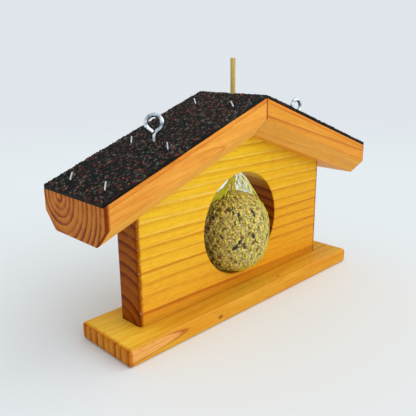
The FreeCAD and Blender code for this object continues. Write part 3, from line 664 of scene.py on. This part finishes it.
def ball_profile(mesh, skin, foot_rise):
    """One edge of the ball from the bore's foot to its top, then down the bore's wall."""
    arc_steps, flank_cuts, bore_cuts = 84, 9, 12
    quarter = math.pi / 2 - foot_rise
    foot = LOWER_MIDDLE + Vector((skin * math.sin(foot_rise), 0, -skin * math.cos(foot_rise)))
    start = mesh.verts.new(foot)
    axis = (0, -1, 0)
    low = bmesh.ops.spin(mesh, geom=[start], cent=LOWER_MIDDLE, axis=axis, angle=quarter, steps=arc_steps)
    side = next(part for part in low["geom_last"] if isinstance(part, bmesh.types.BMVert))
    shoulder = mesh.verts.new(side.co + UP * BALL_STRETCH)
    flank = mesh.edges.new((side, shoulder))
    high = bmesh.ops.spin(mesh, geom=[shoulder], cent=UPPER_MIDDLE, axis=axis, angle=quarter, steps=arc_steps)
    end = next(part for part in high["geom_last"] if isinstance(part, bmesh.types.BMVert))
    bore = mesh.edges.new((end, start))
    bmesh.ops.subdivide_edges(mesh, edges=[flank], cuts=flank_cuts)
    bmesh.ops.subdivide_edges(mesh, edges=[bore], cuts=bore_cuts)
    return mesh.verts[:] + mesh.edges[:]


def core_of(place):
    """The point on the ball's core line from which its skin at a place is one radius away."""
    height = min(max(place.z, LOWER_MIDDLE.z), UPPER_MIDDLE.z)
    return Vector((BALL_MIDDLE.x, BALL_MIDDLE.y, height))


def swell(rise):
    """How far the ball's lower shoulder stands out, by the rise in radians above its lower middle."""
    share = (math.degrees(rise) - SWELL_LOW) / (SWELL_HIGH - SWELL_LOW)
    return SWELL_HEIGHT * math.sin(math.pi * share) ** 2 if 0 < share < 1 else 0.0


def fat_ball(finish):
    """The pressed ball, with a bore for the stick, a dented top and a crumbly skin."""
    skin = BALL_RADIUS - SKIN_DEPTH
    turn_steps = 320
    mesh = bmesh.new()
    colour_layer = mesh.verts.layers.float_color.new("crumbs")
    outline = ball_profile(mesh, skin, math.asin(BORE_RADIUS / skin))
    turn = {"cent": BALL_MIDDLE, "axis": UP, "angle": FULL_TURN, "steps": turn_steps}
    bmesh.ops.spin(mesh, geom=outline, use_merge=True, **turn)
    bmesh.ops.remove_doubles(mesh, verts=mesh.verts, dist=0.01 * MM)
    bmesh.ops.recalc_face_normals(mesh, faces=mesh.faces)
    for vert in mesh.verts:
        core = core_of(vert.co)
        out = vert.co - core
        reach = Vector((out.x, out.y)).length
        vert[colour_layer] = BORE_SHADE
        if reach < BORE_RADIUS * 1.05:
            vert.co.z = min(vert.co.z, UPPER_MIDDLE.z + skin - DENT_DEPTH)
            continue
        distances, cells = noise.voronoi(vert.co / CRUMB_SIZE)
        crevice = min(1.0, (distances[1] - distances[0]) / CRUMB_SLOPE)
        lump = noise.noise(vert.co / LUMP_SIZE)
        height = CRUMB_HEIGHT * (crevice * (2 - crevice) - CRUMB_SUNK) + LUMP_HEIGHT * lump
        height += swell(math.asin(out.z / out.length))
        dent = DENT_DEPTH * math.exp(-((reach / DENT_REACH) ** 2)) if core.z == UPPER_MIDDLE.z else 0.0
        vert.co += out.normalized() * height - UP * dent
        # Painted shade on the side of the ball away from the lamp
        turned = math.atan2(out.y, out.x) - SHADED_SIDE_HEADING
        shaded_side = max(0.0, math.cos(turned)) ** 2
        vert[colour_layer] = (*crumb_colour(cells[0], crevice, shaded_side), 1)
    return new_piece("fat_ball_crumb", mesh, finish, "feed", "fat_and_seeds", "fat_ball")


def crumb_colour(cell, crevice, shaded_side):
    """Colour of one crumb, with painted shade towards its crevices and on the ball's shaded side, which also
    has more dark crumbs.
    """
    pick = 0.5 + 0.5 * noise.noise(cell * 7.31) - 0.1 * shaded_side
    shade = 0.3 + 0.7 * crevice
    shades = Vector(shade * (1 - part * shaded_side) for part in SHADED_SIDE_LOSS)
    if pick > 0.66:
        tone = PALE_CRUMB
    elif pick < 0.3:
        tone = DARK_CRUMB
    else:
        tone = MIDDLE_CRUMB
    return Vector(part * dim for part, dim in zip(tone, shades))


def on_ball(heading, height, reach):
    """A frame on the ball at a heading in degrees and a height, with Z outward and Y up the ball."""
    core = core_of(Vector((0, 0, height)))
    rise = math.asin((height - core.z) / BALL_RADIUS)
    turn = Matrix.Rotation(math.radians(heading), 4, "Z") @ Matrix.Rotation(-rise, 4, "Y")
    stand = Matrix(((0, 0, 1, reach + swell(rise)), (1, 0, 0, 0), (0, 1, 0, 0), (0, 0, 0, 1)))
    return Matrix.Translation(core) @ turn @ stand


def seed_place(heading, height, size, reach, twist, tilt):
    """The frame of one oval seed of half sizes (along, across, thick) pressed into the ball."""
    spot = on_ball(heading, height, reach)
    spot = spot @ Matrix.Rotation(math.radians(twist), 4, "Z") @ Matrix.Rotation(math.radians(tilt), 4, "X")
    return spot @ Matrix.Diagonal((*size, 1))


def ovals(places, sides, rings):
    """One mesh of round shapes, each set to its own frame, made in small batches."""
    batch = 24
    whole = bmesh.new()
    for start in range(0, len(places), batch):
        few = bmesh.new()
        for place in places[start:start + batch]:
            bmesh.ops.create_uvsphere(few, u_segments=sides, v_segments=rings, radius=1.0, matrix=place)
        data = bpy.data.meshes.new("batch")
        few.to_mesh(data)
        few.free()
        whole.from_mesh(data)
        bpy.data.meshes.remove(data)
    return whole


SEED_SIDES, SEED_RINGS = 10, 6
# The side that faces the camera, between two headings in degrees
SHOWN_FROM, SHOWN_TO = 190, 290
# Headings in degrees, heights in millimetres and twists in degrees of the black seeds on that side
SHOWN_SEEDS = (
    (-143, 85, 130), (-137, 83, 130), (-126, 81, 90), (-132, 76, 85), (-96, 81, 90), (-154, 64, 120),
    (-103, 63.5, 105), (-127, 58.5, 60), (-132, 55, 45), (-119, 56, 85), (-77, 76, 90),
)


def spread_over_ball(draw, count):
    """Random headings and heights, even over the ball, away from the stick."""
    low = BALL_LOW.z + 1 * MM
    high = BALL_HIGH.z - 2 * MM
    return [(draw.uniform(0, 360), draw.uniform(low, high)) for _ in range(count)]


def black_seeds(finish):
    """Sunflower seeds: those that the camera sees, and random ones on the other sides."""
    tried, thick, sunk = 46, 1.4, 0.9 * MM
    draw = random.Random(5)
    spots = [(heading, height * MM, twist) for heading, height, twist in SHOWN_SEEDS]
    for heading, height in spread_over_ball(draw, tried):
        if not SHOWN_FROM < heading < SHOWN_TO:
            spots.append((heading, height, draw.uniform(40, 130)))
    places = []
    for heading, height, twist in spots:
        size = mm(draw.uniform(2.6, 3.6), draw.uniform(1.3, 1.7), thick)
        places.append(seed_place(heading, height, size, BALL_RADIUS - sunk, twist, draw.uniform(-15, 15)))
    seeds = ovals(places, SEED_SIDES, SEED_RINGS)
    return new_piece("sunflower_seeds", seeds, finish, "feed", "fat_and_seeds")


def small_seeds(name, finish, seed, count, along, across, thick, sunk):
    """Many small seeds over the ball: ranges of half lengths and half widths, and how deep they are sunk."""
    draw = random.Random(seed)
    places = []
    for heading, height in spread_over_ball(draw, count):
        size = mm(draw.uniform(*along), draw.uniform(*across), thick)
        twist, tilt = draw.uniform(0, 180), draw.uniform(-30, 30)
        places.append(seed_place(heading, height, size, BALL_RADIUS - sunk * MM, twist, tilt))
    return new_piece(name, ovals(places, SEED_SIDES, SEED_RINGS), finish, "feed", "fat_and_seeds")


# The net, as columns of long joints with thin strands between them
NET_COLUMNS = 22
NET_ROW = 7.6 * MM
NET_REACH = BALL_RADIUS + 0.6 * MM
JOINT_LENGTH = 3.4 * MM
JOINT_HALF = Vector((0.8 * MM, 0.4 * MM, JOINT_LENGTH / 2))
JOINT_SIDES, JOINT_RINGS = 6, 5
STRAND_RADIUS = 0.15 * MM
FOLD_STRANDS, FOLD_RADIUS = 44, 0.34 * MM
VEIL_STRANDS, VEIL_RADIUS = 22, 0.17 * MM
TAIL_RADIUS = 0.28 * MM
NECK_REACH = STICK_RADIUS + 0.65 * MM
NECK_TOP = NET_HIGH.z - 0.2 * MM
NECK_FOOT = NET_HIGH.z - 2.4 * MM
BUNDLE_HEADING = math.radians(165)
BUNDLE_STRENGTH, BUNDLE_RATE = 0.65, 1.6
NET_GATHER = math.radians(7)
# The gathered net leans to one side of the stick under its neck and sags on the other side
LEAN_HEADING = math.radians(-44)
LEAN_REACH = 3.3 * MM
LOOSE_REACH = 2.3 * MM
FULL_SIDE, SLACK_SIDE = 1.0 * MM, -4.5 * MM


def net_lean():
    """Rise, above the upper half-ball's middle, at which the net leaves the ball for the neck."""
    climb = NECK_FOOT - UPPER_MIDDLE.z
    slant = math.hypot(climb, NECK_REACH)
    return math.asin(NET_REACH / slant) - math.atan2(NECK_REACH, climb)


# Lengths along the net, from its gathered bottom: bowl, flank, dome, cone and neck
NET_LEAN = net_lean()
BOWL_LENGTH = NET_REACH * (math.pi / 2 - NET_GATHER)
FLANK_END = BOWL_LENGTH + BALL_STRETCH
DOME_END = FLANK_END + NET_REACH * NET_LEAN
LEAVE_REACH = NET_REACH * math.cos(NET_LEAN)
LEAVE_HEIGHT = UPPER_MIDDLE.z + NET_REACH * math.sin(NET_LEAN)
CONE_LENGTH = math.hypot(LEAVE_REACH - NECK_REACH, NECK_FOOT - LEAVE_HEIGHT)
CONE_END = DOME_END + CONE_LENGTH
NET_LENGTH = CONE_END + NECK_TOP - NECK_FOOT


def net_point(way, heading):
    """A point of the net, a way up from its gathered bottom, at a heading."""
    if way < DOME_END:
        turned = way if way < BOWL_LENGTH else max(BOWL_LENGTH, way - BALL_STRETCH)
        rise = NET_GATHER - math.pi / 2 + turned / NET_REACH
        skin = NET_REACH + swell(rise)
        reach, lean = skin * math.cos(rise), 0.0
        height = LOWER_MIDDLE.z + skin * math.sin(rise) + way - turned
    elif way < CONE_END:
        share = (way - DOME_END) / CONE_LENGTH
        heading += BUNDLE_STRENGTH * min(1.0, BUNDLE_RATE * share) * math.sin(BUNDLE_HEADING - heading)
        side = 0.5 + 0.5 * math.cos(heading - LEAN_HEADING)
        slack = SLACK_SIDE + (FULL_SIDE - SLACK_SIDE) * side
        sag = slack * math.sin(math.pi * share)
        reach = LEAVE_REACH + (NECK_REACH + LOOSE_REACH - LEAVE_REACH) * share + sag
        lean = LEAN_REACH * share
        height = LEAVE_HEIGHT + (NECK_FOOT - LEAVE_HEIGHT) * share
    else:
        heading += BUNDLE_STRENGTH * math.sin(BUNDLE_HEADING - heading)
        share = 1 - (way - CONE_END) / (NECK_TOP - NECK_FOOT)
        reach, lean = NECK_REACH + LOOSE_REACH * share, LEAN_REACH * share
        height = NECK_FOOT + way - CONE_END
    x = reach * math.cos(heading) + lean * math.cos(LEAN_HEADING)
    y = reach * math.sin(heading) + lean * math.sin(LEAN_HEADING)
    return Vector((x, BALL_MIDDLE.y + y, height))


NET_ROWS = int(NET_LENGTH / NET_ROW)


def joint_place(row, column, side=1):
    """Way and heading of one joint: every other row is shifted by half a mesh to one side."""
    shift = 0.5 * side if row % 2 else 0.0
    return (row + 0.5) * NET_ROW, FULL_TURN * (column + shift) / NET_COLUMNS


def strand_points(column, side):
    """One zigzag strand from the bottom to the neck, through a joint in each row."""
    points = []
    for row in range(NET_ROWS):
        way, heading = joint_place(row, column, side)
        points.append(net_point(way - JOINT_LENGTH / 2, heading))
        points.append(net_point(way + JOINT_LENGTH / 2, heading))
        if row + 1 < NET_ROWS:
            next_way, next_heading = joint_place(row + 1, column, side)
            points.append(net_point((way + next_way) / 2, (heading + next_heading) / 2))
    return points


def tubes(name, paths, radius, finish, body, slot, *stands_for):
    """Thin round tubes along several paths, as one mesh."""
    curve = bpy.data.curves.new(name, "CURVE")
    curve.dimensions = "3D"
    curve.bevel_depth = radius
    curve.bevel_resolution = 0
    curve.use_fill_caps = True
    for path in paths:
        spline = curve.splines.new("POLY")
        spline.points.add(len(path) - 1)
        for point, place in zip(spline.points, path):
            point.co = (*place, 1)
    holder = bpy.data.objects.new(name + "_line", curve)
    bpy.context.scene.collection.objects.link(holder)
    mesh = bmesh.new()
    data = bpy.data.meshes.new_from_object(holder.evaluated_get(bpy.context.evaluated_depsgraph_get()))
    mesh.from_mesh(data)
    bpy.data.objects.remove(holder)
    bpy.data.meshes.remove(data)
    return new_piece(name, mesh, finish, body, slot, *stands_for)


def net_strands(finish):
    paths = [strand_points(column, side) for column in range(NET_COLUMNS) for side in (-1, 1)]
    return tubes("net_strands", paths, STRAND_RADIUS, finish, "feed", "net_yarn", "ball_net")


def net_joints(finish):
    """The long joints where two strands run side by side."""
    draw = random.Random(3)
    places = []
    for row in range(NET_ROWS):
        for column in range(NET_COLUMNS):
            way, heading = joint_place(row, column)
            middle = net_point(way, heading)
            top = net_point(way + JOINT_HALF.z, heading)
            along = (top - net_point(way - JOINT_HALF.z, heading)).normalized()
            outward = (middle - core_of(middle)).normalized()
            sideways = along.cross(outward).normalized()
            outward = sideways.cross(along)
            turn = Matrix((sideways, outward, along)).transposed().to_4x4()
            tilt = Matrix.Rotation(draw.uniform(-0.22, 0.22), 4, "Y")
            size = Matrix.Diagonal((*JOINT_HALF * draw.uniform(0.8, 1.2), 1))
            places.append(Matrix.Translation(middle) @ turn @ tilt @ size)
    return new_piece("net_joints", ovals(places, JOINT_SIDES, JOINT_RINGS), finish, "feed", "net_yarn")


def net_fold(finish):
    """The slack side of the net, folded over itself between the ball's shoulder and the neck."""
    first_heading, steps = 125, 9
    draw = random.Random(17)
    paths = []
    for _ in range(FOLD_STRANDS):
        turn = draw.uniform(0, 85)
        heading = math.radians(first_heading + turn)
        start = DOME_END + (draw.uniform(-8, -3) + 0.25 * turn) * MM
        path = []
        for step in range(steps + 1):
            way = start + (CONE_END - start) * step / steps
            path.append(net_point(way, heading + math.radians(draw.uniform(-4, 4))))
        paths.append(path)
    return tubes("net_fold", paths, FOLD_RADIUS, finish, "feed", "net_yarn")


def net_veil(finish):
    """The far side of the net, drawn up in thin crossing strands from the ball's shoulder to the neck."""
    draw = random.Random(29)
    steps = 6
    paths = []
    for _ in range(VEIL_STRANDS):
        heading = math.radians(draw.uniform(-48, 50))
        slant = math.radians(draw.uniform(-20, 20))
        start = DOME_END + draw.uniform(2, 9) * MM
        path = []
        for step in range(steps + 1):
            share = step / steps
            path.append(net_point(start + (CONE_END - start) * share, heading + slant * share))
        paths.append(path)
    return tubes("net_veil", paths, VEIL_RADIUS, finish, "feed", "net_yarn")


def net_tail(finish):
    """Loose ends of the net that fan out under the ball in front."""
    bunched, fanned, steps = 34, 26, 5
    draw = random.Random(14)
    headings = [draw.gauss(-112, 9) for _ in range(bunched)]
    headings += [draw.uniform(-110, -58) for _ in range(fanned)]
    paths = []
    for heading in headings:
        spread = math.radians(heading)
        start = math.radians(-90 + draw.uniform(-35, 35))
        low = math.radians(draw.uniform(5, 9))
        high = math.radians(draw.uniform(24, 38))
        path = []
        for step in range(steps + 1):
            share = step / steps
            fall = low + (high - low) * share
            aim = start + (spread - start) * min(1.0, 1.5 * share)
            reach = NET_REACH + (0.5 + 0.9 * share * draw.uniform(0.4, 1.0)) * MM
            aim += math.radians(draw.uniform(-2.5, 2.5))
            out = Vector((math.cos(aim) * math.sin(fall), math.sin(aim) * math.sin(fall), -math.cos(fall)))
            path.append(LOWER_MIDDLE + out * reach)
        paths.append(path)
    return tubes("net_tail", paths, TAIL_RADIUS, finish, "feed", "net_yarn")


# Stage, light and camera

def background_rays(tree):
    """One for the rays that show the background: from the camera, off metal and through glass."""
    rays = tree.nodes.new("ShaderNodeLightPath")
    shown = rays.outputs["Is Camera Ray"]
    for name in ("Is Glossy Ray", "Is Transmission Ray"):
        either = tree.nodes.new("ShaderNodeMath")
        either.operation = "MAXIMUM"
        tree.links.new(shown, either.inputs[0])
        tree.links.new(rays.outputs[name], either.inputs[1])
        shown = either.outputs[0]
    return shown


def stage():
    """A pale floor without an edge in view, a pale sky, and one soft lamp from above the front right."""
    backdrop, table = (0.745, 0.79, 0.83), (0.80, 0.85, 0.875)
    floor_reach, fade_start, fade_end = 30, 0.35, 1.4
    light_from = Vector((0.55, -0.78, 0.85))
    mesh = bmesh.new()
    bmesh.ops.create_grid(mesh, x_segments=1, y_segments=1, size=floor_reach)
    data = bpy.data.meshes.new("floor")
    mesh.to_mesh(data)
    mesh.free()
    floor = bpy.data.objects.new("floor", data)
    bpy.context.scene.collection.objects.link(floor)
    cover = Finish("pale_floor")
    far = cover.spread(cover.length(cover.place), fade_start, fade_end, 0.0, 1.0)
    faded = cover.math("MULTIPLY", far, background_rays(cover.tree))
    cover.set(Base_Color=cover.mix(faded, table, (0, 0, 0)), Roughness=0.6)
    cover.set(Specular_IOR_Level=0.0, Emission_Color=(*backdrop, 1), Emission_Strength=faded)
    data.materials.append(cover.material)

    world = bpy.data.worlds.new("studio")
    bpy.context.scene.world = world
    world.use_nodes = True
    nodes, links = world.node_tree.nodes, world.node_tree.links
    ambient = nodes["Background"]
    ambient.inputs["Color"].default_value = (0.95, 0.975, 1.0, 1)
    ambient.inputs["Strength"].default_value = 0.65
    seen = nodes.new("ShaderNodeBackground")
    seen.inputs["Color"].default_value = (*backdrop, 1)
    choice = nodes.new("ShaderNodeMixShader")
    links.new(background_rays(world.node_tree), choice.inputs[0])
    links.new(ambient.outputs[0], choice.inputs[1])
    links.new(seen.outputs[0], choice.inputs[2])
    links.new(choice.outputs[0], nodes["World Output"].inputs["Surface"])

    lamp = bpy.data.lights.new("key", "SUN")
    lamp.energy = 1.78
    lamp.angle = math.radians(90)
    lamp.color = (1.0, 0.985, 0.96)
    key = bpy.data.objects.new("key", lamp)
    bpy.context.scene.collection.objects.link(key)
    key.rotation_euler = light_from.to_track_quat("Z", "Y").to_euler()


def camera():
    """The photograph's view: picture size, focal length and shifts in pixels, then lengths and angles."""
    picture, focal, shift_x, shift_y = 416.0, 522.1, 0.5, 0.4
    target = mm(-28.768, 0, 85.073)
    azimuth, elevation, roll = (math.radians(angle) for angle in (-44.395, 16.433, -0.662))
    distance = 426.521 * MM
    level = math.cos(elevation)
    back = Vector((math.sin(azimuth) * level, -math.cos(azimuth) * level, math.sin(elevation)))
    right = Vector((math.cos(azimuth), math.sin(azimuth), 0))
    up = back.cross(right)
    turned_right = right * math.cos(roll) + up * math.sin(roll)
    turned_up = up * math.cos(roll) - right * math.sin(roll)
    data = bpy.data.cameras.new("view")
    data.sensor_width = 36.0
    data.lens = data.sensor_width * focal / picture
    data.shift_x = shift_x / picture
    data.shift_y = shift_y / picture
    data.clip_start = 0.01
    data.clip_end = 200.0
    view = bpy.data.objects.new("view", data)
    bpy.context.scene.collection.objects.link(view)
    turn = Matrix((turned_right, turned_up, back)).transposed()
    view.matrix_world = Matrix.Translation(target + back * distance) @ turn.to_4x4()
    bpy.context.scene.camera = view


def paint(finish, *names):
    """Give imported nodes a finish."""
    for name in names:
        for slot in NODES[name].material_slots:
            slot.material = finish


def dress():
    """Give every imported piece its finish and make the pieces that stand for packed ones."""
    paint(base_wood(), "base_board")
    paint(block_wood(), "house_block")
    paint(roof_wood_left(), "roof_board_left")
    paint(roof_wood_right(), "roof_board_right")
    paint(bamboo(), "skewer_stick")
    # Painted reflection: the bright zinc's dark patch tone stands for the dark felt and room mirrored in it
    zinc = plated_metal("bright_zinc", (0.88, 0.93, 0.96), (0.20, 0.26, 0.30), 0.10, 3.4 * MM)
    paint(zinc, "screw_eye_left", "screw_eye_right")
    wire = plated_metal("staple_steel", (0.84, 0.85, 0.86), (0.66, 0.67, 0.68), 0.45, 2 * MM)
    paint(wire, "felt_staples_left", "felt_staples_right")
    band = plated_metal("clip_aluminium", (0.80, 0.80, 0.80), (0.62, 0.62, 0.63), 0.35, 1 * MM)
    paint(band, "net_clip")
    yellow = plated_metal("yellow_zinc", (0.72, 0.62, 0.34), (0.52, 0.45, 0.26), 0.3, 2 * MM)
    paint(yellow, *(name for name in NODES if "screw_" in name and "eye" not in name))
    roofing_felt(felt_finish())
    fat_ball(crumb_finish())
    black_seeds(seed_finish("sunflower_husk", (0.012, 0.013, 0.016), (0.10, 0.11, 0.12), 0.5))
    red_husk = seed_finish("red_grain_husk", (0.20, 0.055, 0.02), (0.36, 0.14, 0.05), 0.8)
    grain = {"along": (0.9, 1.5), "across": (0.6, 0.9), "thick": 0.8, "sunk": 0.6}
    small_seeds("red_grains", red_husk, seed=8, count=90, **grain)
    oat_husk = seed_finish("oat_husk", (0.66, 0.50, 0.16), (0.90, 0.76, 0.32), 0.9)
    flake = {"along": (1.2, 2.2), "across": (0.8, 1.4), "thick": 0.5, "sunk": 0.35}
    small_seeds("oat_flakes", oat_husk, seed=21, count=420, **flake)
    net_strands(net_finish("lime_net_strand", (0.62, 0.66, 0.02), (0.82, 0.83, 0.07)))
    net_joints(net_finish("lime_net_yarn", (0.66, 0.68, 0.02), (0.86, 0.85, 0.09)))
    # Painted light: a brighter copy of the net's yarn for the fold and tail that lie in shade, used for the
    # veil as well
    bunched = net_finish("lime_net_painted_bright", (0.88, 1.0, 0.01), (0.98, 1.0, 0.04))
    net_fold(bunched)
    net_veil(bunched)
    net_tail(bunched)


dress()
stage()
camera()
bpy.context.scene.view_settings.view_transform = "Standard"
